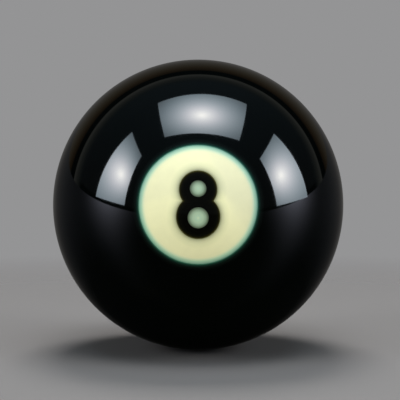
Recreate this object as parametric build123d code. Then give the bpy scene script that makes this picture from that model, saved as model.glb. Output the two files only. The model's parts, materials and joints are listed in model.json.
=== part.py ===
from build123d import *
from math import radians, sqrt, tan
import os

# A numbered pool ball, cast in phenolic resin and ground to a true sphere.
#
# The black body is cast round two cream number discs, one at each end of the
# number axis. Each disc has a sloping rim that thins to nothing at the ball's
# surface, a neck, and a wider foot that keys it into the body. A black numeral 8
# is let into each disc. Its sides widen inward, so the disc grips it, and each of
# its two loops is a shallow cup that holds a cream fill. Everything is ground
# flush with the sphere after casting, so the pieces meet face to face.
#
# Frame: the origin is the ball's centre, +Z is up, the number axis is Y, and the
# front numeral faces -Y and stands upright along Z.
# Units are millimetres and degrees.

# Ball
BALL_DIAMETER = 57.15  # the standard 2 1/4 inch ball

# Number disc
FACE_DIAMETER = 20.0  # the cream circle where it meets the ball's surface
RIM_SLOPE = 45.0  # the rim's slope, measured from the number axis
NUMERAL_WALL = 1.45  # cream left between the numeral's inner end and the neck
NECK_LENGTH = 2.0  # straight part behind the rim
LOCK_LIP = 0.9  # how far the foot stands out past the neck
FOOT_HEIGHT = 2.0  # straight part of the foot
CORNER_RADIUS = 0.4  # rounding of the disc's buried corners

# Numeral
UPPER_LOOP_DIAMETER = 6.3
UPPER_FILL_DIAMETER = 2.85
LOWER_LOOP_DIAMETER = 7.3
LOWER_FILL_DIAMETER = 3.6
WAIST_BAR = 1.7  # black between the two fills
FILL_OFFSET = 0.22  # each fill sits this much further from the waist than its loop's centre
NUMERAL_DEPTH = 4.5  # from the ball's crown to the numeral's inner face
NUMERAL_DRAFT = 8.0  # how much the numeral's sides widen inward
WAIST_RADIUS = 0.25  # rounding of the notch at each side of the waist

# Loop fills
FILL_DEPTH = 1.6  # from the ball's crown to the cup's floor
FILL_DRAFT = 15.0  # how much a cup narrows inward

# How far a cutting shape runs out past the ball's surface
RUN_OUT = 1.0

ball_radius = BALL_DIAMETER / 2
face_radius = FACE_DIAMETER / 2
crown = ball_radius  # height of the ball's surface on the number axis

# The loops and fills, each by its centre along the numeral's height. The fills are a
# waist bar apart, and the whole numeral is centred on the disc.
fill_distance = UPPER_FILL_DIAMETER / 2 + WAIST_BAR + LOWER_FILL_DIAMETER / 2
loop_distance = fill_distance - 2 * FILL_OFFSET
numeral_height = UPPER_LOOP_DIAMETER / 2 + loop_distance + LOWER_LOOP_DIAMETER / 2
upper_centre = numeral_height / 2 - UPPER_LOOP_DIAMETER / 2
lower_centre = LOWER_LOOP_DIAMETER / 2 - numeral_height / 2
upper_fill_centre = upper_centre + FILL_OFFSET
lower_fill_centre = lower_centre - FILL_OFFSET

# The numeral is widest at its inner end, and the disc's neck stands clear of it there.
numeral_reach = numeral_height / 2 + NUMERAL_DEPTH * tan(radians(NUMERAL_DRAFT))
neck_radius = numeral_reach + NUMERAL_WALL


def ball():
    """The finished sphere that every piece is ground to."""
    return Sphere(ball_radius)


def number_disc_blank():
    """The number disc before its numeral, turned about +Z and run out past the surface."""
    slope = tan(radians(RIM_SLOPE))
    foot_radius = neck_radius + LOCK_LIP
    face_level = sqrt(ball_radius**2 - face_radius**2)
    rim_low = face_level - (face_radius - neck_radius) / slope
    neck_low = rim_low - NECK_LENGTH
    shoulder_low = neck_low - LOCK_LIP
    foot_low = shoulder_low - FOOT_HEIGHT
    top = crown + RUN_OUT
    top_radius = face_radius + (top - face_level) * slope
    side = FilletPolyline(
        (0, foot_low),
        (foot_radius, foot_low),
        (foot_radius, shoulder_low),
        (neck_radius, neck_low),
        (neck_radius, rim_low),
        (top_radius, top),
        radius=CORNER_RADIUS,
    )
    lid = Polyline((top_radius, top), (0, top), (0, foot_low))
    return revolve(Plane.XZ * make_face(side + lid), Axis.Z)


def post(diameter, centre, depth, draft):
    """A round post about +Z, of that diameter level with the crown, from the depth given
    to past the surface. A positive draft widens it inward, a negative one narrows it."""
    slope = tan(radians(draft))
    cone = Cone(
        bottom_radius=diameter / 2 + depth * slope,
        top_radius=diameter / 2 - RUN_OUT * slope,
        height=depth + RUN_OUT,
        align=(Align.CENTER, Align.CENTER, Align.MIN),
    )
    return Pos(0, centre, crown - depth) * cone


def numeral_blank():
    """The numeral with its loops still solid: two drafted posts, rounded where they meet."""
    upper = post(UPPER_LOOP_DIAMETER, upper_centre, NUMERAL_DEPTH, NUMERAL_DRAFT)
    lower = post(LOWER_LOOP_DIAMETER, lower_centre, NUMERAL_DEPTH, NUMERAL_DRAFT)
    both = upper + lower
    waist_notches = both.edges().filter_by(GeomType.HYPERBOLA)
    return fillet(waist_notches, WAIST_RADIUS)


def loop_cup(diameter, centre):
    """The hollow in one loop of the numeral, run out past the surface."""
    return post(diameter, centre, FILL_DEPTH, -FILL_DRAFT)


def number_set():
    """One numbered end of the ball, facing +Z with the numeral's top towards +Y."""
    blank = numeral_blank()
    upper_cup = loop_cup(UPPER_FILL_DIAMETER, upper_fill_centre)
    lower_cup = loop_cup(LOWER_FILL_DIAMETER, lower_fill_centre)
    return {
        "number_disc": (number_disc_blank() - blank) & ball(),
        "numeral": (blank - upper_cup - lower_cup) & ball(),
        "upper_loop_fill": upper_cup & ball(),
        "lower_loop_fill": lower_cup & ball(),
    }


def ball_pieces():
    """Every piece of the ball by its name, in place."""
    front = Rot(X=90)
    back = Rot(Z=180) * front
    socket = number_disc_blank()
    pieces = {"ball_body": ball() - front * socket - back * socket}
    for end, place in (("front", front), ("back", back)):
        for name, piece in number_set().items():
            pieces[f"{end}_{name}"] = place * piece
    return pieces


os.makedirs("parts", exist_ok=True)
for name, piece in ball_pieces().items():
    export_step(piece, f"parts/{name}.step")
    print(name, round(piece.volume, 2), "mm3,", len(piece.solids()), "solid")
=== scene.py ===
# %% [markdown]
# # A numbered pool ball
#
# A pool ball is cast in phenolic resin, the hard, heavy plastic that replaced ivory.
# The black body is cast round two cream number discs, one at each end of one axis. A
# black numeral 8 is let into each disc, and each loop of the numeral is a shallow cup
# filled with a paler resin. Then the whole ball is ground and polished to one sphere.
#
# Nine pieces, four resins and three softboxes make the picture. The steps are: load
# the measured model, turn the body and the discs, cut the numeral in, mix the resins,
# and build a small studio round the ball.

# %% Load the measured model
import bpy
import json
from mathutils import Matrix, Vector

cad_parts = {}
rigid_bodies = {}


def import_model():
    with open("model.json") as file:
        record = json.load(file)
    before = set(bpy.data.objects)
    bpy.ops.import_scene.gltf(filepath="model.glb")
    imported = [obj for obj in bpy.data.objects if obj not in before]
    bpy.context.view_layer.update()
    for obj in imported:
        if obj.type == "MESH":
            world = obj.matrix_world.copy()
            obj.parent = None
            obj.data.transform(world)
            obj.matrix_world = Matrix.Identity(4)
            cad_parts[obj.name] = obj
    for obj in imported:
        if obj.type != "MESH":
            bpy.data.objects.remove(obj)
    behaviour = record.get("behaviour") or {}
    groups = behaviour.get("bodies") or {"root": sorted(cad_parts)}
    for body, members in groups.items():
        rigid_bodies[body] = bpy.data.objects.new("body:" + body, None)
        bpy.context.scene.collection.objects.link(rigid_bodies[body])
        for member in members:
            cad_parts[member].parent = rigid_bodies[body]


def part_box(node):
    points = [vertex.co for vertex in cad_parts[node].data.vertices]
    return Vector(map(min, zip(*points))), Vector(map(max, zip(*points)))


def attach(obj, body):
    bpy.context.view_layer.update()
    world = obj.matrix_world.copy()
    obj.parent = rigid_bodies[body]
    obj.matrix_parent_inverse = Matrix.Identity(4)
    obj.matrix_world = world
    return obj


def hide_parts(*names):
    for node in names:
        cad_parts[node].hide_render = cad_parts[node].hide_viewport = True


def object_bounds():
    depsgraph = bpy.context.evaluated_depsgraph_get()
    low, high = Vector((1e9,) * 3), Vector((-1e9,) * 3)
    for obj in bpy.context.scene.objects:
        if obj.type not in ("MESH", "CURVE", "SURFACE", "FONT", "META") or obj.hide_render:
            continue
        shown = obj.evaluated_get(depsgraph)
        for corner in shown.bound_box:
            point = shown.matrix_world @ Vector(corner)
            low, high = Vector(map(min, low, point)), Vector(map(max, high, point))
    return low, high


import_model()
cad_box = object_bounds()

print("measured model, in metres:", [tuple(corner) for corner in cad_box])

# %% Tools used below
import json
from math import asin, atan2, cos, pi, radians, sin, sqrt, tan

import bmesh
import bpy
from mathutils import Euler, Matrix, Vector

# %% [markdown]
# ## Sizes
#
# The drawing of the ball is in millimetres, so the pieces are shaped in millimetres and
# brought to metres at the very end, in one place. Everything hangs on the ball's
# radius, which is read from the measured model. The other sizes are the drawing's.

# %% Sizes in millimetres
MM = 0.001

BALL_RADIUS = cad_box[1].y / MM
FACE_RADIUS = 10.0        # the cream circle at the surface
NUMERAL_WALL = 1.45       # cream left between the numeral's inner end and the neck
NECK_LENGTH = 2.0
LOCK_LIP = 0.9            # how far the foot stands out past the neck
FOOT_HEIGHT = 2.0
CORNER_RADIUS = 0.4       # rounding of the buried corners

UPPER_LOOP_RADIUS = 3.15
LOWER_LOOP_RADIUS = 3.65
UPPER_FILL_RADIUS = 1.425
LOWER_FILL_RADIUS = 1.8
WAIST_BAR = 1.7           # black between the two fills
FILL_OFFSET = 0.22        # a fill's centre is this much further out than its loop's
NUMERAL_DEPTH = 4.5
NUMERAL_DRAFT = radians(8.0)
WAIST_RADIUS = 0.25
FILL_DEPTH = 1.6
FILL_DRAFT = radians(15.0)
RUN_OUT = 1.0             # how far a cutting shape stands out of the ball

fill_distance = UPPER_FILL_RADIUS + WAIST_BAR + LOWER_FILL_RADIUS
loop_distance = fill_distance - 2 * FILL_OFFSET
numeral_height = UPPER_LOOP_RADIUS + loop_distance + LOWER_LOOP_RADIUS
upper_loop_z = numeral_height / 2 - UPPER_LOOP_RADIUS
lower_loop_z = LOWER_LOOP_RADIUS - numeral_height / 2
upper_fill_z = upper_loop_z + FILL_OFFSET
lower_fill_z = lower_loop_z - FILL_OFFSET

print("ball", 2 * BALL_RADIUS, "mm, numeral", round(numeral_height, 3), "mm high")

# %% [markdown]
# ## The profile of a socket
#
# Each number disc has a sloping rim that thins to nothing at the surface, a straight
# neck, and a wider foot. The foot is what locks the disc in: the body is cast round it.
# Because disc and socket share one profile, they are turned from the same points and
# meet face to face. A point is a distance from the number axis and a level along it.

# %% Socket profile
neck_radius = numeral_height / 2 + NUMERAL_DEPTH * tan(NUMERAL_DRAFT) + NUMERAL_WALL
foot_radius = neck_radius + LOCK_LIP
face_level = sqrt(BALL_RADIUS**2 - FACE_RADIUS**2)
rim_level = face_level - (FACE_RADIUS - neck_radius)
neck_level = rim_level - NECK_LENGTH
shoulder_level = neck_level - LOCK_LIP
foot_level = shoulder_level - FOOT_HEIGHT

SOCKET = [
    (0.0, foot_level),
    (foot_radius, foot_level),
    (foot_radius, shoulder_level),
    (neck_radius, neck_level),
    (neck_radius, rim_level),
    (FACE_RADIUS, face_level),
]

print("socket profile, mm:", [(round(r, 3), round(y, 3)) for r, y in SOCKET])

# %% [markdown]
# ## Drawing a wire with bmesh
#
# A lathe turns a profile, and bmesh has the same tool, `spin`. Spinning one vertex
# draws an arc, and spinning a finished wire makes a turned solid. So two helpers are
# enough to draw any profile made of lines and arcs: each takes the wire's end vertex
# and hands back the new end. A third helper rounds a corner with a bevel.

# %% Line and arc
ORIGIN = (0, 0, 0)
CORNER_STEPS = 5
TURN_STEPS = 256


def draw_line(bm, end, point):
    """Draw a straight edge from the wire's end to a point."""
    new_end = bm.verts.new(point)
    bm.edges.new((end, new_end))
    return new_end


def draw_arc(bm, end, centre, axis, angle, steps):
    """Swing the wire's end round a centre, drawing the arc as it goes."""
    spun = bmesh.ops.spin(
        bm, geom=[end], cent=centre, axis=axis, angle=angle, steps=steps, use_duplicate=False
    )
    return spun["geom_last"][0]


def round_corner(bm, corner, turn):
    """Round one corner of a wire that turns through this angle."""
    bmesh.ops.bevel(
        bm, geom=[corner], affect="VERTICES", offset=CORNER_RADIUS * tan(turn / 2),
        segments=CORNER_STEPS, profile=0.5, material=-1,
    )


# %% [markdown]
# ## Turning a wire into a solid
#
# A full spin closes on itself with `use_merge`. The vertices on the axis are spun on
# the spot, so they are merged into one pole, and only then are the normals worked out,
# so that they all point outwards.

# %% Lathe
AXIS_Y = (0, 1, 0)
AXIS_Z = (0, 0, 1)
MERGE = 1e-4


def draw_socket(bm, side):
    """Draw the socket's wire at one end of the ball, from the axis to the face circle."""
    corners = [(r, side * level, 0) for r, level in SOCKET]
    made = [bm.verts.new(corners[0])]
    for point in corners[1:]:
        made.append(draw_line(bm, made[-1], point))
    round_corner(bm, made[1], radians(90))
    for corner in made[2:5]:
        round_corner(bm, corner, radians(45))
    return made[-1]


def turn_solid(bm, name):
    """Spin the whole wire once about the number axis and hand back a closed mesh."""
    bmesh.ops.spin(
        bm, geom=bm.verts[:] + bm.edges[:], cent=ORIGIN, axis=AXIS_Y,
        angle=2 * pi, steps=TURN_STEPS, use_merge=True, use_duplicate=False,
    )
    bmesh.ops.remove_doubles(bm, verts=bm.verts[:], dist=MERGE)
    bmesh.ops.recalc_face_normals(bm, faces=bm.faces[:])
    mesh = bpy.data.meshes.new(name)
    bm.to_mesh(mesh)
    bm.free()
    return mesh


# %% [markdown]
# ## The black body
#
# The body is the sphere with a socket at each end. A sphere from `create_uvsphere`
# would put its poles in the wrong place and its rings wouldn't meet the disc, so the
# body is turned from one wire: front socket, the long arc over the ball, back socket.

# %% Turn the body
BODY_STEPS = 104
face_angle = asin(FACE_RADIUS / BALL_RADIUS)

bm = bmesh.new()
front_edge = draw_socket(bm, -1)
draw_arc(bm, front_edge, ORIGIN, AXIS_Z, pi - 2 * face_angle, BODY_STEPS)
draw_socket(bm, 1)
bmesh.ops.remove_doubles(bm, verts=bm.verts[:], dist=MERGE)
body_mesh = turn_solid(bm, "ball_body")

print("body:", len(body_mesh.polygons), "faces")

# %% [markdown]
# ## The disc blank
#
# The blank is the disc before its numeral is cut in. It uses the same socket wire and
# the same number of steps round, so its rim and the body's share every vertex, and
# no gap or step can show between the cream and the black.

# %% Turn the disc blank
CROWN_STEPS = 30

bm = bmesh.new()
face_edge = draw_socket(bm, -1)
draw_arc(bm, face_edge, ORIGIN, AXIS_Z, -face_angle, CROWN_STEPS)
blank_mesh = turn_solid(bm, "disc_blank")

print("disc blank:", len(blank_mesh.polygons), "faces")

# %% [markdown]
# ## The numeral's outline
#
# The numeral is two round posts that run into each other, with a small fillet in each
# side of the waist. Its outline is four arcs drawn one after the other: over the upper
# loop, round the left fillet, under the lower loop, and round the right fillet. The
# fillet's centre is where two circles cross, and `drop` and `out` find that point.

# %% Numeral outline
TO_VIEWER = (0, -1, 0)
LOOP_STEPS = 108
WAIST_STEPS = 10


def draw_numeral(bm, level, offset):
    """Draw the closed outline at a level, that much wider than the size on the drawing."""
    upper_radius = UPPER_LOOP_RADIUS + offset
    lower_radius = LOWER_LOOP_RADIUS + offset
    upper_reach = upper_radius + WAIST_RADIUS
    lower_reach = lower_radius + WAIST_RADIUS
    drop = (loop_distance**2 + upper_reach**2 - lower_reach**2) / (2 * loop_distance)
    out = sqrt(upper_reach**2 - drop**2)
    at_upper = atan2(out, drop)
    at_lower = atan2(out, loop_distance - drop)

    upper = Vector((0, -level, upper_loop_z))
    lower = Vector((0, -level, lower_loop_z))
    right = Vector((out, -level, upper_loop_z - drop))
    left = Vector((-out, -level, upper_loop_z - drop))

    waist = pi - at_upper - at_lower
    end = bm.verts.new(upper + (right - upper) * upper_radius / upper_reach)
    end = draw_arc(bm, end, upper, TO_VIEWER, 2 * (pi - at_upper), LOOP_STEPS)
    end = draw_arc(bm, end, left, TO_VIEWER, -waist, WAIST_STEPS)
    end = draw_arc(bm, end, lower, TO_VIEWER, 2 * (pi - at_lower), LOOP_STEPS)
    draw_arc(bm, end, right, TO_VIEWER, -waist, WAIST_STEPS)


# %% [markdown]
# ## The numeral's punch
#
# The sides of the numeral lean outward as they go in, like a dovetail, so the disc
# grips it. Two outlines, one proud of the surface and one at the numeral's floor, are
# joined by `bridge_loops` and closed with a face at each end.

# %% Numeral punch
bm = bmesh.new()
draw_numeral(bm, BALL_RADIUS + RUN_OUT, -RUN_OUT * tan(NUMERAL_DRAFT))
draw_numeral(bm, BALL_RADIUS - NUMERAL_DEPTH, NUMERAL_DEPTH * tan(NUMERAL_DRAFT))
bmesh.ops.remove_doubles(bm, verts=bm.verts[:], dist=MERGE)
bmesh.ops.bridge_loops(bm, edges=bm.edges[:])
bmesh.ops.holes_fill(bm, edges=bm.edges[:], sides=0)
bmesh.ops.recalc_face_normals(bm, faces=bm.faces[:])
punch_mesh = bpy.data.meshes.new("numeral_punch")
bm.to_mesh(punch_mesh)
print("numeral punch:", len(bm.faces), "faces, volume", round(bm.calc_volume(), 1), "mm3")
bm.free()

# %% [markdown]
# ## The cups in the loops
#
# Each loop holds a shallow cup that narrows inward. A cone with its tip cut off is just
# what `create_cone` gives, turned so that its axis lies along the number axis.

# %% Cup punches
CUP_STEPS = 108


def make_cup(name, radius, z):
    """A cup's punch, of this radius at the level of the ball's crown."""
    bm = bmesh.new()
    place = Matrix.Translation((0, -(BALL_RADIUS + (RUN_OUT - FILL_DEPTH) / 2), z))
    bmesh.ops.create_cone(
        bm, cap_ends=True, segments=CUP_STEPS, depth=FILL_DEPTH + RUN_OUT,
        radius1=radius - FILL_DEPTH * tan(FILL_DRAFT),
        radius2=radius + RUN_OUT * tan(FILL_DRAFT),
        matrix=place @ Matrix.Rotation(pi / 2, 4, "X"),
    )
    mesh = bpy.data.meshes.new(name)
    bm.to_mesh(mesh)
    bm.free()
    return mesh


upper_cup = make_cup("upper_cup", UPPER_FILL_RADIUS, upper_fill_z)
lower_cup = make_cup("lower_cup", LOWER_FILL_RADIUS, lower_fill_z)
print("cup punches:", len(upper_cup.polygons), "and", len(lower_cup.polygons), "faces")

# %% [markdown]
# ## Cutting with the Boolean modifier
#
# A router would cut the numeral's pocket, and the Boolean modifier is Blender's router.
# The exact solver is used because every cut crosses many small faces. The helper puts
# two meshes on throwaway objects, reads the cut result and removes the objects again.

# %% Boolean helper
def cut(shape, tool, operation):
    """The Boolean of two meshes, as a new mesh."""
    work = bpy.data.objects.new("work", shape)
    cutter = bpy.data.objects.new("cutter", tool)
    for helper in (work, cutter):
        bpy.context.collection.objects.link(helper)
    modifier = work.modifiers.new("cut", "BOOLEAN")
    modifier.solver = "EXACT"
    modifier.operation = operation
    modifier.object = cutter
    graph = bpy.context.evaluated_depsgraph_get()
    result = bpy.data.meshes.new_from_object(work.evaluated_get(graph))
    for helper in (work, cutter):
        bpy.data.objects.remove(helper)
    return result


# %% [markdown]
# ## The pieces of one number
#
# All four pieces come out of the same blank, so they share its polished face and sit
# flush: the disc is the blank without the numeral, the numeral is what the punch took
# out, and the fills are what the cups take out of the numeral.

# %% Cut one number
numeral_whole = cut(blank_mesh, punch_mesh, "INTERSECT")
numeral_open = cut(numeral_whole, upper_cup, "DIFFERENCE")
NUMBER_PIECES = {
    "number_disc": cut(blank_mesh, punch_mesh, "DIFFERENCE"),
    "numeral": cut(numeral_open, lower_cup, "DIFFERENCE"),
    "upper_loop_fill": cut(numeral_whole, upper_cup, "INTERSECT"),
    "lower_loop_fill": cut(numeral_whole, lower_cup, "INTERSECT"),
}

for name, mesh in NUMBER_PIECES.items():
    print(name, len(mesh.polygons), "faces")

# %% [markdown]
# ## Mixing the resins: helpers
#
# Colours are written as the hex values a designer would use and turned to the linear
# numbers that the shader works in. `add` puts one node in a tree, sets it up and links
# it, so a material reads as a list of its nodes.

# %% Material helpers
def linear(hex_colour):
    """An sRGB hex colour as linear red, green, blue and alpha."""
    channels = [int(hex_colour[i : i + 2], 16) / 255 for i in (1, 3, 5)]
    bright = [((c + 0.055) / 1.055) ** 2.4 for c in channels]
    return [c / 12.92 if c <= 0.04045 else b for c, b in zip(channels, bright)] + [1]


def add(tree, kind, inputs=None, **settings):
    """Add a node, set its properties, and give each input a value or a link."""
    new = tree.nodes.new(kind)
    for name, value in settings.items():
        setattr(new, name, value)
    for name, value in (inputs or {}).items():
        if isinstance(value, bpy.types.NodeSocket):
            tree.links.new(value, new.inputs[name])
        else:
            new.inputs[name].default_value = value
    return new


def set_stops(ramp, stops, interpolation="LINEAR"):
    """Give a ramp node its stops, each a position and a hex colour."""
    ramp.color_ramp.interpolation = interpolation
    while len(ramp.color_ramp.elements) < len(stops):
        ramp.color_ramp.elements.new(1.0)
    for element, (position, colour) in zip(ramp.color_ramp.elements, stops):
        element.position = position
        element.color = linear(colour)


def new_material(name):
    """A new material and its empty node tree."""
    material = bpy.data.materials.new(name)
    material.use_nodes = True
    material.node_tree.nodes.clear()
    return material, material.node_tree


# %% [markdown]
# ## Where on the disc am I?
#
# Every resin here changes with its distance from something: the disc's rim, the
# numeral's edge, a loop's edge. Object coordinates give a point on the ball in metres.
# The Mapping node turns them to millimetres and flattens them along the number axis,
# so one pattern serves the front and the back number alike.

# %% Distance helpers
RESIN_IOR = 1.6
LOOPS = [(upper_loop_z, UPPER_LOOP_RADIUS), (lower_loop_z, LOWER_LOOP_RADIUS)]
CUPS = [(upper_fill_z, UPPER_FILL_RADIUS), (lower_fill_z, LOWER_FILL_RADIUS)]


def face_point(tree):
    """The point seen along the number axis, in millimetres."""
    where = add(tree, "ShaderNodeTexCoord")
    flat = add(
        tree, "ShaderNodeMapping",
        {"Vector": where.outputs["Object"], "Scale": (1 / MM, 0, 1 / MM)},
    )
    return flat.outputs["Vector"]


def from_circle(tree, point, z, radius):
    """How far outside a circle on the number's face a point is, in millimetres."""
    away = add(
        tree, "ShaderNodeVectorMath", {0: point, 1: (0, 0, z)}, operation="DISTANCE"
    )
    return add(
        tree, "ShaderNodeMath", {0: away.outputs["Value"], 1: radius}, operation="SUBTRACT"
    ).outputs["Value"]


def from_pair(tree, point, pair):
    """How far outside the nearer of two circles a point is, in millimetres."""
    upper, lower = [from_circle(tree, point, z, radius) for z, radius in pair]
    nearer = add(tree, "ShaderNodeMath", {0: upper, 1: lower}, operation="MINIMUM")
    return nearer.outputs["Value"]


# %% [markdown]
# ## Clouds in the resin
#
# Filler and hardener never mix quite evenly, so cast resin is very slightly cloudy. One
# noise in Object coordinates, sized in millimetres, darkens a colour: by a few
# hundredths at most in the pale resins, and by up to fifteen in the black ones, where it
# takes more to show. Each resin has clouds of its own size, so this gets a helper.

# %% Clouds
def cloud(tree, colour, size, darkest):
    """Multiply a colour by soft clouds of this size in millimetres."""
    where = add(tree, "ShaderNodeTexCoord")
    noise = add(
        tree, "ShaderNodeTexNoise",
        {"Vector": where.outputs["Object"], "Scale": 1 / (size * MM), "Detail": 4.0},
    )
    shade = add(
        tree, "ShaderNodeMapRange",
        {"Value": noise.outputs["Fac"], "From Min": 0.3, "From Max": 0.7,
         "To Min": darkest, "To Max": 1.0},
    )
    clouded = add(
        tree, "ShaderNodeMix", {0: 1.0, 6: colour, 7: shade.outputs["Result"]},
        data_type="RGBA", blend_type="MULTIPLY",
    )
    return clouded.outputs[2]


# %% [markdown]
# ## Black body: cast phenolic resin, polished
#
# Phenolic resin is opaque, hard and heavy, with an index of about 1.6, so it takes a
# deeper gloss than most plastics. The black is so dark that almost all the eye sees is
# the studio mirrored in it. Beside the cream disc the light that enters the cream
# leaks out through the edge of the black as a narrow teal glow, which is drawn as a
# colour that fades within a millimetre. Polishing leaves a faint unevenness, too fine
# to show as relief, so it is drawn as small changes of roughness.

# %% Black phenolic
GLOW_REACH = 1.2          # mm of black that the light from the cream reaches
POLISH_SIZE = 4.0         # mm across one patch of the polish

black_phenolic, tree = new_material("black_phenolic_resin_polished")
outside = from_circle(tree, face_point(tree), 0, FACE_RADIUS)
glow = add(
    tree, "ShaderNodeMapRange", {"Value": outside, "From Min": 0, "From Max": GLOW_REACH}
)
glow_colour = add(tree, "ShaderNodeValToRGB", {"Fac": glow.outputs["Result"]})
set_stops(
    glow_colour,
    [(0, "#4d7569"), (0.07, "#2f5e51"), (0.14, "#173a31"), (0.28, "#0e221f"),
     (0.5, "#080d0d"), (1, "#020303")],
)
where = add(tree, "ShaderNodeTexCoord")
polish = add(
    tree, "ShaderNodeTexNoise",
    {"Vector": where.outputs["Object"], "Scale": 1 / (POLISH_SIZE * MM), "Detail": 6.0},
)
roughness = add(
    tree, "ShaderNodeMapRange",
    {"Value": polish.outputs["Fac"], "From Min": 0.3, "From Max": 0.7,
     "To Min": 0.03, "To Max": 0.055},
)
surface = add(
    tree, "ShaderNodeBsdfPrincipled",
    {"Base Color": cloud(tree, glow_colour.outputs["Color"], 3.0, 0.85),
     "Roughness": roughness.outputs["Result"], "IOR": RESIN_IOR},
)
add(tree, "ShaderNodeOutputMaterial", {"Surface": surface.outputs["BSDF"]})
print(black_phenolic.name, "has", len(tree.nodes), "nodes")

# %% [markdown]
# ## Cream number disc: cast phenolic resin with a translucent edge
#
# The cream is the natural colour of the resin, slightly yellow. Two things change it.
# Where the disc thins to nothing at its rim, the black behind it shows through and
# turns it teal over the last millimetre and a half. Round the numeral the black
# darkens the cream through its thickness, so a soft olive halo follows the outline.

# %% Cream phenolic
RIM_START = 8.4           # mm from the centre, where the teal rim begins
HALO_REACH = 3.0          # mm of cream over which the halo's colours are laid out

cream_phenolic, tree = new_material("cream_phenolic_resin_polished")
point = face_point(tree)
rim_gap = from_circle(tree, point, 0, FACE_RADIUS)
rim_place = add(
    tree, "ShaderNodeMapRange",
    {"Value": rim_gap, "From Min": RIM_START - FACE_RADIUS, "From Max": 0.0},
)
rim_colour = add(tree, "ShaderNodeValToRGB", {"Fac": rim_place.outputs["Result"]})
set_stops(
    rim_colour,
    [(0, "#f2edc4"), (0.35, "#eeebc3"), (0.48, "#e1e5c2"), (0.58, "#cfdfc0"),
     (0.69, "#b1d1b6"), (0.79, "#a2c6af"), (0.9, "#8ab19d"), (1, "#6a9284")],
)
halo_place = add(
    tree, "ShaderNodeMapRange",
    {"Value": from_pair(tree, point, LOOPS), "From Min": 0.0, "From Max": HALO_REACH},
)
halo = add(tree, "ShaderNodeValToRGB", {"Fac": halo_place.outputs["Result"]})
set_stops(
    halo,
    [(0, "#7b7d7d"), (0.11, "#c6c9c8"), (0.22, "#e2e5e4"), (0.33, "#f1f3f2"),
     (0.45, "#f9faf9"), (0.56, "#ffffff")],
)
tinted = add(
    tree, "ShaderNodeMix",
    {0: 1.0, 6: rim_colour.outputs["Color"], 7: halo.outputs["Color"]},
    data_type="RGBA", blend_type="MULTIPLY",
)
surface = add(
    tree, "ShaderNodeBsdfPrincipled",
    {"Base Color": cloud(tree, tinted.outputs[2], 1.5, 0.97), "Roughness": 0.05,
     "IOR": RESIN_IOR},
)
add(tree, "ShaderNodeOutputMaterial", {"Surface": surface.outputs["BSDF"]})
print(cream_phenolic.name, "has", len(tree.nodes), "nodes")

# %% [markdown]
# ## Numeral: black phenolic resin, warmer than the body
#
# The numeral's black is a pour of its own, with a little brown in it. Its edge could be
# left razor sharp, but cream light creeps into the first millimetre of the black, so the
# colour warms to olive there. That softens the outline the way a real inlay looks.

# %% Numeral resin
NUMERAL_EDGE = 0.9        # mm of black that the cream's light reaches

numeral_phenolic, tree = new_material("warm_black_phenolic_resin_polished")
from_outline = from_pair(tree, face_point(tree), LOOPS)
edge_place = add(
    tree, "ShaderNodeMapRange",
    {"Value": from_outline, "From Min": -NUMERAL_EDGE, "From Max": 0.0},
)
numeral_colour = add(tree, "ShaderNodeValToRGB", {"Fac": edge_place.outputs["Result"]})
set_stops(
    numeral_colour,
    [(0, "#050504"), (0.6, "#090906"), (0.82, "#16150a"), (1, "#3a3818")],
)
surface = add(
    tree, "ShaderNodeBsdfPrincipled",
    {"Base Color": cloud(tree, numeral_colour.outputs["Color"], 1.0, 0.85),
     "Roughness": 0.06, "IOR": RESIN_IOR},
)
add(tree, "ShaderNodeOutputMaterial", {"Surface": surface.outputs["BSDF"]})
print(numeral_phenolic.name, "has", len(tree.nodes), "nodes")

# %% [markdown]
# ## Loop fills: cream resin over black
#
# Each fill is a thin, shallow pool of cream, so the black round and under it shows
# through: greyer and greener than the disc, and darkest at the edge of the cup. The
# colour follows the distance to the cup's edge. The ramp eases from stop to stop,
# because a straight ramp would leave a point of light in the middle of the pool.

# %% Loop resin
FILL_REACH = 1.85         # mm inward over which the fill's colours are laid out

loop_phenolic, tree = new_material("thin_cream_phenolic_resin_polished")
from_cup = from_pair(tree, face_point(tree), CUPS)
fill_place = add(
    tree, "ShaderNodeMapRange",
    {"Value": from_cup, "From Min": -FILL_REACH, "From Max": 0.0},
)
fill_colour = add(tree, "ShaderNodeValToRGB", {"Fac": fill_place.outputs["Result"]})
set_stops(
    fill_colour,
    [(0, "#c0ceb1"), (0.26, "#a9c3ad"), (0.46, "#a7bca3"), (0.54, "#9eb59e"),
     (0.64, "#93a893"), (0.73, "#879b87"), (0.82, "#707f6e"), (0.91, "#586456"),
     (1, "#3c463c")],
    interpolation="EASE",
)
surface = add(
    tree, "ShaderNodeBsdfPrincipled",
    {"Base Color": cloud(tree, fill_colour.outputs["Color"], 0.8, 0.96),
     "Roughness": 0.05, "IOR": RESIN_IOR},
)
add(tree, "ShaderNodeOutputMaterial", {"Surface": surface.outputs["BSDF"]})
print(loop_phenolic.name, "has", len(tree.nodes), "nodes")

# %% [markdown]
# ## Polishing: normals from the sphere
#
# A mirror gloss shows every facet, even small ones. Each face that lies on the ball is
# therefore given the exact normal of the sphere at its corners, straight out from the
# centre. The buried walls keep ordinary normals, with sharp edges kept sharp.

# %% Polish and place
ON_SPHERE = 0.004         # mm below the sphere that still counts as polished
SHARP_ANGLE = radians(30)


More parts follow.
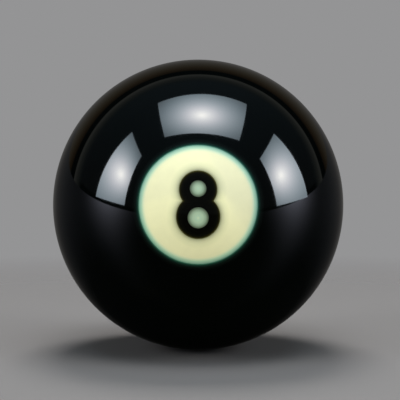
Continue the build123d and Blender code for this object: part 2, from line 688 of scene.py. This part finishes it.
def polish_mesh(mesh):
    """Shade a mesh smooth, with the sphere's own normals on its polished face."""
    mesh.shade_smooth()
    mesh.set_sharp_from_angle(angle=SHARP_ANGLE)
    depth = [BALL_RADIUS - vertex.co.length for vertex in mesh.vertices]
    normals = [Vector()] * len(mesh.loops)
    for face in mesh.polygons:
        if all(depth[i] < ON_SPHERE for i in face.vertices):
            for loop in face.loop_indices:
                normals[loop] = mesh.vertices[mesh.loops[loop].vertex_index].co.normalized()
    mesh.normals_split_custom_set(normals)


def box_error(node, mesh):
    """The largest difference in mm between a mesh's box and the measured node's."""
    low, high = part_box(node)
    errors = []
    for i in range(3):
        places = [vertex.co[i] for vertex in mesh.vertices]
        errors += [abs(min(places) - low[i]), abs(max(places) - high[i])]
    return max(errors) / MM


def place_piece(node, mesh, material):
    """Polish a piece, bring it to metres and let it stand for the measured node."""
    polish_mesh(mesh)
    mesh.transform(Matrix.Scale(MM, 4))
    mesh.materials.clear()
    mesh.materials.append(material)
    mesh.name = node + "_mesh"
    piece = bpy.data.objects.new(node + "_turned", mesh)
    bpy.context.collection.objects.link(piece)
    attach(piece, "root")
    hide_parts(node)
    off = box_error(node, mesh)
    print(f"{node}: {len(mesh.polygons)} faces, {off:.3f} mm off the model's box")


# %% Place every piece
FINISHES = {
    "number_disc": (cream_phenolic, "cream_resin"),
    "numeral": (numeral_phenolic, "numeral_resin"),
    "upper_loop_fill": (loop_phenolic, "loop_resin"),
    "lower_loop_fill": (loop_phenolic, "loop_resin"),
}

place_piece("ball_body", body_mesh, black_phenolic)
for name, mesh in NUMBER_PIECES.items():
    material, slot = FINISHES[name]
    back = mesh.copy()
    back.transform(Matrix.Rotation(pi, 4, "Z"))
    place_piece("front_" + name, mesh, material)
    place_piece("back_" + name, back, material)

for leftover in (blank_mesh, punch_mesh, upper_cup, lower_cup, numeral_whole, numeral_open):
    bpy.data.meshes.remove(leftover)

# %% [markdown]
# ## The floor
#
# A plain matt table top. It fades out on all sides away from the ball, so that floor
# and background meet without a line, as on a studio's paper sweep. The gloss
# doesn't mirror it, because a floor this pale would turn the black ball's lower half
# grey. What the ball mirrors instead is drawn further down, in the room.

# %% Floor
radius = BALL_RADIUS * MM
FLOOR_RADIUS = 1.2
FLOOR_STEPS = 64
FADE_START = 0.06
FADE_END = 0.34

floor_paper, tree = new_material("matt_grey_paper")
where = add(tree, "ShaderNodeTexCoord")
away = add(
    tree, "ShaderNodeVectorMath", {0: where.outputs["Object"], 1: (0, 0, -radius)},
    operation="DISTANCE",
)
fade = add(
    tree, "ShaderNodeMapRange",
    {"Value": away.outputs["Value"], "From Min": FADE_START, "From Max": FADE_END},
    interpolation_type="SMOOTHSTEP",
)
paper = add(tree, "ShaderNodeBsdfDiffuse", {"Color": linear("#686563")})
clear = add(tree, "ShaderNodeBsdfTransparent")
both = add(
    tree, "ShaderNodeMixShader",
    {0: fade.outputs["Result"], 1: paper.outputs["BSDF"], 2: clear.outputs["BSDF"]},
)
add(tree, "ShaderNodeOutputMaterial", {"Surface": both.outputs["Shader"]})

bm = bmesh.new()
bmesh.ops.create_circle(
    bm, cap_ends=True, segments=FLOOR_STEPS, radius=FLOOR_RADIUS,
    matrix=Matrix.Translation((0, 0, -radius)),
)
floor_mesh = bpy.data.meshes.new("floor")
bm.to_mesh(floor_mesh)
bm.free()
floor_mesh.materials.append(floor_paper)
floor = bpy.data.objects.new("floor", floor_mesh)
bpy.context.collection.objects.link(floor)
floor.visible_glossy = False
floor.visible_shadow = False
print("floor fades out between", FADE_START, "and", FADE_END, "m from the ball")

# %% [markdown]
# ## Three softboxes
#
# A glossy black ball is lit by what it mirrors, so each softbox has to look right in
# the reflection: a rounded hot spot near the middle, falling off towards cooler edges.
# All three hang at arm's length. `turn` tips a lamp, in degrees, from pointing straight
# down. Its place, its size, and the hot spot's offset from its middle and reach are in
# metres.

# %% Softboxes
PEAK_ROUNDING = 0.015     # m over which the tip of the hot spot is rounded
PEAK_RADIANCE = 15.4      # W per square metre and steradian in the hot spot

SOFTBOXES = {
    "softbox_top": {
        "place": (0.017, -0.180, 0.572), "turn": (21, 6, 3), "size": (0.568, 0.405),
        "hot": (0.012, -0.085), "reach": (0.163, 0.130),
    },
    "softbox_left": {
        "place": (-0.488, -0.255, 0.238), "turn": (84, 8, -103), "size": (0.310, 0.450),
        "hot": (0.060, -0.092), "reach": (0.180, 0.130),
    },
    "softbox_right": {
        "place": (0.524, -0.205, 0.215), "turn": (81, -8, 100), "size": (0.338, 0.411),
        "hot": (-0.085, -0.055), "reach": (0.172, 0.134),
    },
}


def hang_lamp(name, light, place, turn):
    """Hang a lamp, turned by these degrees. Unturned, it shines straight down."""
    lamp = bpy.data.objects.new(name, light)
    bpy.context.collection.objects.link(lamp)
    lamp.location = place
    lamp.rotation_euler = Euler([radians(angle) for angle in turn])
    lamp.visible_camera = False
    return lamp


for name, box in SOFTBOXES.items():
    print(name, "hangs", round(Vector(box["place"]).length, 3), "m from the ball's centre")

# %% [markdown]
# ## The softboxes' fall-off
#
# An area light can be given nodes like a material. Its Parametric output runs from 0 to
# 1 across the lamp. Mapping turns that into reaches away from the hot spot, and the
# light halves and halves again with that distance, as it does behind a cloth diffuser.

# %% Fall-off and lamps
for name, box in SOFTBOXES.items():
    light = bpy.data.lights.new(name, "AREA")
    light.shape = "RECTANGLE"
    light.size, light.size_y = box["size"]
    light.energy = pi * light.size * light.size_y * PEAK_RADIANCE
    light.use_nodes = True
    tree = light.node_tree
    tree.nodes.clear()
    lamp_face = add(tree, "ShaderNodeNewGeometry")
    spread = [side / reach for side, reach in zip(box["size"], box["reach"])]
    centre = [scale * (0.5 + offset) for scale, offset in zip(spread, box["hot"])]
    rounding = PEAK_ROUNDING / box["reach"][0]
    spot = add(
        tree, "ShaderNodeMapping",
        {"Vector": lamp_face.outputs["Parametric"], "Scale": (spread[0], spread[1], 0),
         "Location": (-centre[0], -centre[1], rounding)},
    )
    away = add(
        tree, "ShaderNodeVectorMath", {0: spot.outputs["Vector"]}, operation="LENGTH"
    )
    fall = add(
        tree, "ShaderNodeMath", {0: rounding, 1: away.outputs["Value"]}, operation="SUBTRACT"
    )
    strength = add(tree, "ShaderNodeMath", {0: fall.outputs["Value"]}, operation="EXPONENT")
    colour = add(tree, "ShaderNodeValToRGB", {"Fac": strength.outputs["Value"]})
    set_stops(colour, [(0.18, "#dcf2ff"), (0.6, "#f5f8ff"), (1, "#fffefa")])
    glow = add(
        tree, "ShaderNodeEmission",
        {"Color": colour.outputs["Color"], "Strength": strength.outputs["Value"]},
    )
    add(tree, "ShaderNodeOutputLight", {"Surface": glow.outputs["Emission"]})
    hang_lamp(name, light, box["place"], box["turn"])
    print(name, "energy", round(light.energy, 2), "W")

# %% [markdown]
# ## Two helpers that the gloss doesn't mirror
#
# The table throws light back up at the number, and a small lamp high above draws the
# shadow round the foot of the ball. Neither is mirrored in the ball, so glossy rays
# don't see them, and they have plain even light. Each lamp has a place in metres, a
# turn in degrees, a size in metres, a power in watts and a colour.

# %% Helper lamps
HELPERS = {
    "table_bounce": ((0, -0.36, -0.28), (128, 0, 0), 0.6, 2.5, "#ffffc8"),
    "overhead": ((0, 0.17, 0.53), (-18, 0, 0), 0.2, 3.6, "#ffffff"),
}

for name, (place, turn, size, energy, colour) in HELPERS.items():
    light = bpy.data.lights.new(name, "AREA")
    light.size = size
    light.energy = energy
    light.color = linear(colour)[:3]
    hang_lamp(name, light, place, turn).visible_glossy = False
    print(name, energy, "W")

# %% [markdown]
# ## The room in the gloss: where things lie
#
# Between the softboxes the ball mirrors the studio, and a world shader can draw that
# by direction, with no models at all. Only two parts of the direction are needed here:
# Y away from the camera and Z up. Two edges matter. The skyline is the far edge of the
# table, and `above` is the height over it. The paper sweep hangs behind the ball, and
# `inside` is how far a direction lies within the sweep's round outline.

# %% Directions in the room
SKYLINE_HEIGHT = 0.078    # the table's far edge, seen to the side
SKYLINE_RISE = 0.25       # how much higher it lies towards the back
SWEEP_DEPTH = 0.50        # the sweep's outline, on the level
SWEEP_LEAN = 0.13         # how much deeper it lies higher up

world = bpy.data.worlds.new("room")
bpy.context.scene.world = world
world.use_nodes = True
tree = world.node_tree
tree.nodes.clear()

where = add(tree, "ShaderNodeTexCoord")
parts = add(tree, "ShaderNodeSeparateXYZ", {"Vector": where.outputs["Generated"]})
depth_y, height_z = parts.outputs["Y"], parts.outputs["Z"]

table_edge = add(
    tree, "ShaderNodeMath", {0: depth_y, 1: SKYLINE_RISE, 2: SKYLINE_HEIGHT},
    operation="MULTIPLY_ADD",
)
above = add(
    tree, "ShaderNodeMath", {0: height_z, 1: table_edge.outputs["Value"]},
    operation="SUBTRACT",
)
below = add(tree, "ShaderNodeMath", {0: above.outputs["Value"], 1: 0}, operation="LESS_THAN")
outline = add(
    tree, "ShaderNodeMath", {0: height_z, 1: SWEEP_LEAN, 2: SWEEP_DEPTH},
    operation="MULTIPLY_ADD",
)
inside = add(
    tree, "ShaderNodeMath", {0: depth_y, 1: outline.outputs["Value"]},
    operation="SUBTRACT",
)
print("directions:", len(tree.nodes), "nodes")

# %% [markdown]
# ## The room in the gloss: what it looks like
#
# Over the table hangs a dark teal ceiling. The sweep is brown paper in shade, greyer
# towards its foot, with a black edge and a faint light on the wall round it. The table
# is a dim grey that is brightest far behind the ball and black in front of it.

# %% Colours in the room
SWEEP_GLOW = (-0.32, -0.22)    # where the ceiling gives way to the light round the sweep
TABLE_BELOW = 0.12             # the table's share of light half way down

above_place = add(
    tree, "ShaderNodeMapRange",
    {"Value": above.outputs["Value"], "From Min": 0, "From Max": 1},
)
ceiling = add(tree, "ShaderNodeValToRGB", {"Fac": above_place.outputs["Result"]})
set_stops(
    ceiling,
    [(0, "#000000"), (0.03, "#020303"), (0.06, "#26282b"), (0.24, "#272a2e"),
     (0.6, "#2c3439"), (1, "#38424a")],
)
sweep_place = add(
    tree, "ShaderNodeMapRange",
    {"Value": inside.outputs["Value"], "From Min": -0.5, "From Max": 0.5},
)
sweep = add(tree, "ShaderNodeValToRGB", {"Fac": sweep_place.outputs["Result"]})
set_stops(
    sweep,
    [(0.2, "#2f3436"), (0.3, "#464845"), (0.375, "#62635e"), (0.39, "#000000"),
     (0.49, "#000000"), (0.51, "#2f2214"), (0.59, "#433829"), (0.7, "#4f4a40"),
     (0.85, "#5a5855"), (0.95, "#636261")],
)
near_sweep = add(
    tree, "ShaderNodeMapRange",
    {"Value": inside.outputs["Value"], "From Min": SWEEP_GLOW[0],
     "From Max": SWEEP_GLOW[1]},
)
table_place = add(
    tree, "ShaderNodeMapRange", {"Value": depth_y, "From Min": -1, "From Max": 1}
)
table = add(tree, "ShaderNodeValToRGB", {"Fac": table_place.outputs["Result"]})
set_stops(
    table,
    [(0.25, "#0a0a0c"), (0.5, "#2f3036"), (0.65, "#343539"), (0.75, "#3a3b3f"),
     (0.825, "#414244"), (0.9, "#494848"), (0.975, "#5c5b59"), (1, "#646362")],
)
table_fade = add(
    tree, "ShaderNodeMapRange",
    {"Value": height_z, "From Min": -0.5, "From Max": 0, "To Min": TABLE_BELOW, "To Max": 1},
)
over_table = add(
    tree, "ShaderNodeMix",
    {0: near_sweep.outputs["Result"], 6: ceiling.outputs["Color"],
     7: sweep.outputs["Color"]},
    data_type="RGBA",
)
over_light = add(tree, "ShaderNodeBackground", {"Color": over_table.outputs[2]})
print("with their colours:", len(tree.nodes), "nodes")

# %% [markdown]
# ## The ball's own shadow in the gloss
#
# The lowest part of the rim mirrors the table just behind the ball, which lies in the
# ball's own shadow. How far down a direction leans, seen from the front, is the Z of
# the direction once its Y is dropped: 0 at the sides and -1 straight below.

# %% Table and shadow
SHADOW_EDGE = -0.55       # how far down the shadow ends
SHADOW_LIGHT = 0.06       # the light left straight below the ball

flat = add(
    tree, "ShaderNodeVectorMath", {0: where.outputs["Generated"], 1: (1, 0, 1)},
    operation="MULTIPLY",
)
leaning = add(
    tree, "ShaderNodeVectorMath", {0: flat.outputs["Vector"]}, operation="NORMALIZE"
)
lean = add(tree, "ShaderNodeSeparateXYZ", {"Vector": leaning.outputs["Vector"]})
shadow = add(
    tree, "ShaderNodeMapRange",
    {"Value": lean.outputs["Z"], "From Min": -1.0, "From Max": SHADOW_EDGE,
     "To Min": SHADOW_LIGHT},
)
table_strength = add(
    tree, "ShaderNodeMath", {0: table_fade.outputs["Result"], 1: shadow.outputs["Result"]},
    operation="MULTIPLY",
)
table_light = add(
    tree, "ShaderNodeBackground",
    {"Color": table.outputs["Color"], "Strength": table_strength.outputs["Value"]},
)
print("with the table and its shadow:", len(tree.nodes), "nodes")

# %% [markdown]
# ## The room in the gloss: two pools of light
#
# Each side softbox also lights a pool on the table below it. A pool is brightest in one
# heading round the ball, falls off to both sides of it, and fades downwards. Both
# falls are exponential, so their exponents are added up and raised once.

# %% Pools of light on the table
POOL_NARROWNESS = 33      # how fast a pool falls off to its sides
POOL_DROP = 6             # how fast it fades downwards
POOL_TURNS = (radians(200), radians(-14))    # from +X, anticlockwise from above

level = add(
    tree, "ShaderNodeVectorMath", {0: where.outputs["Generated"], 1: (1, 1, 0)},
    operation="MULTIPLY",
)
heading = add(
    tree, "ShaderNodeVectorMath", {0: level.outputs["Vector"]}, operation="NORMALIZE"
)
lit = table_light.outputs["Background"]
for turn in POOL_TURNS:
    facing = add(
        tree, "ShaderNodeVectorMath",
        {0: heading.outputs["Vector"], 1: (cos(turn), sin(turn), 0)},
        operation="DOT_PRODUCT",
    )
    sideways = add(
        tree, "ShaderNodeMath",
        {0: facing.outputs["Value"], 1: POOL_NARROWNESS, 2: -POOL_NARROWNESS},
        operation="MULTIPLY_ADD",
    )
    exponent = add(
        tree, "ShaderNodeMath", {0: height_z, 1: POOL_DROP, 2: sideways.outputs["Value"]},
        operation="MULTIPLY_ADD",
    )
    pool = add(tree, "ShaderNodeMath", {0: exponent.outputs["Value"]}, operation="EXPONENT")
    pool_light = add(
        tree, "ShaderNodeBackground",
        {"Color": linear("#e8ebff"), "Strength": pool.outputs["Value"]},
    )
    both = add(tree, "ShaderNodeAddShader", {0: lit, 1: pool_light.outputs["Background"]})
    lit = both.outputs["Shader"]
print("pools of light:", len(POOL_TURNS))

# %% [markdown]
# ## The backdrop
#
# The camera itself sees none of that, only a plain pale grey, the colour the floor
# fades into. Light Path tells the camera's rays from the gloss's.

# %% Backdrop and world output
backdrop = add(tree, "ShaderNodeBackground", {"Color": linear("#949495")})
room = add(
    tree, "ShaderNodeMixShader",
    {0: below.outputs["Value"], 1: over_light.outputs["Background"], 2: lit},
)
ray = add(tree, "ShaderNodeLightPath")
seen = add(
    tree, "ShaderNodeMixShader",
    {0: ray.outputs["Is Camera Ray"], 1: room.outputs["Shader"],
     2: backdrop.outputs["Background"]},
)
add(tree, "ShaderNodeOutputWorld", {"Surface": seen.outputs["Shader"]})
bpy.context.scene.view_settings.view_transform = "Standard"
print("room:", len(tree.nodes), "nodes")

# %% [markdown]
# ## The camera
#
# The camera looks level at the front number from six ball radii away, close enough
# for the number to look a little larger than it would from far off. A small shift
# frames the ball without turning the camera, so upright things stay upright.

# %% Camera
CAMERA_DISTANCE = 6 * radius
LENS_MM = 77.3
SENSOR_MM = 36
FRAME_SHIFT = (0.0046, 0.0118)    # right and up, as a share of the frame's width

camera_data = bpy.data.cameras.new("camera")
camera_data.lens = LENS_MM
camera_data.sensor_width = SENSOR_MM
camera_data.shift_x, camera_data.shift_y = FRAME_SHIFT
camera_data.clip_start = 0.01
camera = bpy.data.objects.new("camera", camera_data)
bpy.context.collection.objects.link(camera)
camera.location = (0, -CAMERA_DISTANCE, 0)
camera.rotation_euler = Euler((pi / 2, 0, 0))
bpy.context.scene.camera = camera
print("camera stands", round(CAMERA_DISTANCE, 4), "m from the ball's centre")
